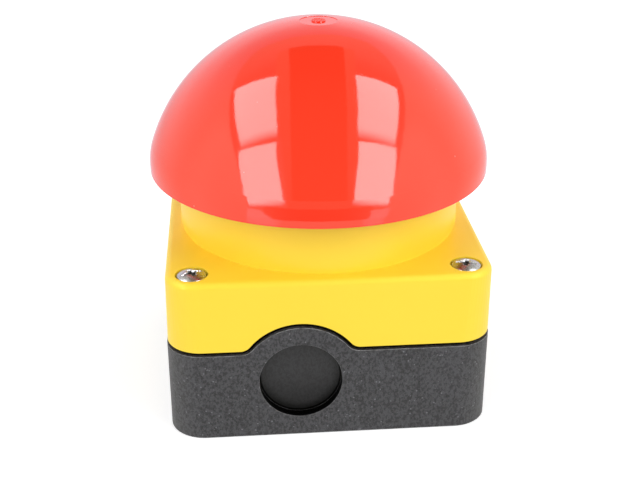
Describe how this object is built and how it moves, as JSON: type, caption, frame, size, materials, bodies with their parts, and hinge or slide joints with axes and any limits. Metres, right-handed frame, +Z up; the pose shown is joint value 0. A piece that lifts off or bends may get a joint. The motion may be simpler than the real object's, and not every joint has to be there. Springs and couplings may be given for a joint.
{
  "type": "emergency stop push button",
  "caption": "Palm-operated emergency stop: large red dome button on a yellow cover with a black surface-mounting base.",
  "frame": {"origin": "centre of the base's underside, on the surface that it is screwed to", "axes": "+Z up along the button's travel, -Y towards the knockout that the picture shows, +X to its right"},
  "size_m": [0.088, 0.088, 0.0957],
  "materials": {
    "red_gloss": "high-gloss red moulded plastic",
    "yellow_satin": "satin yellow moulded plastic",
    "black_grain": "fine-grained black moulded plastic",
    "grey_plastic": "plain dark grey plastic",
    "pale_plastic": "plain pale grey plastic",
    "black_rubber": "soft black rubber",
    "bright_steel": "bright zinc-plated or stainless steel",
    "turned_brass": "turned brass",
    "green_plastic": "plain green plastic"
  },
  "bodies": {
    "enclosure": {"base": "black_grain", "cover_inserts": "turned_brass", "cover": "yellow_satin", "cover_gasket": "black_rubber", "cover_screws": "bright_steel", "guide_bush": "pale_plastic", "latch_housing": "grey_plastic", "latch_housing_screws": "bright_steel", "latch_plugs": "bright_steel", "latch_springs": "bright_steel", "sealing_bellows": "black_rubber", "nc_housing": "grey_plastic", "nc_side_cover": "pale_plastic", "nc_fixed_contacts": "turned_brass", "nc_terminal_screws": "bright_steel", "nc_clamp_plates": "bright_steel", "no_housing": "grey_plastic", "no_side_cover": "pale_plastic", "no_fixed_contacts": "turned_brass", "no_terminal_screws": "bright_steel", "no_clamp_plates": "bright_steel"},
    "button": {"dome": "red_gloss", "dome_insert": "turned_brass", "spring_cup": "grey_plastic", "plunger": "pale_plastic", "plunger_screw": "bright_steel", "actuator_plate": "grey_plastic", "stop_washer": "bright_steel", "retaining_clip": "bright_steel", "return_spring": "bright_steel"},
    "nc_contact": {"nc_slider": "red_gloss", "nc_bridge": "turned_brass", "nc_contact_spring": "bright_steel", "nc_return_spring": "bright_steel"},
    "no_contact": {"no_slider": "green_plastic", "no_bridge": "turned_brass", "no_contact_spring": "bright_steel", "no_return_spring": "bright_steel"},
    "left_latch": {"latch_bolt_left": "bright_steel"},
    "right_latch": {"latch_bolt_right": "bright_steel"}
  },
  "joints": [
    {"name": "button_press", "type": "slide", "parent": "enclosure", "child": "button", "axis": [0, 0, -1], "range_m": [0, 0.006], "deforming": ["return_spring", "sealing_bellows"]},
    {"name": "nc_contact_press", "type": "slide", "parent": "enclosure", "child": "nc_contact", "axis": [0, 0, -1], "range_m": [0, 0.006], "deforming": ["nc_return_spring"]},
    {"name": "no_contact_press", "type": "slide", "parent": "enclosure", "child": "no_contact", "axis": [0, 0, -1], "range_m": [0, 0.006], "deforming": ["no_return_spring"]},
    {"name": "left_latch_slide", "type": "slide", "parent": "enclosure", "child": "left_latch", "axis": [1, 0, 0], "range_m": [0, 0.0015]},
    {"name": "right_latch_slide", "type": "slide", "parent": "enclosure", "child": "right_latch", "axis": [-1, 0, 0], "range_m": [0, 0.0015]}
  ],
  "couplings": [
    {"joint": "nc_contact_press", "follows": "button_press", "ratio": 1},
    {"joint": "no_contact_press", "follows": "button_press", "ratio": 1},
    {"joint": "left_latch_slide", "follows": "button_press", "ratio": 0.25},
    {"joint": "right_latch_slide", "follows": "button_press", "ratio": 0.25}
  ]
}
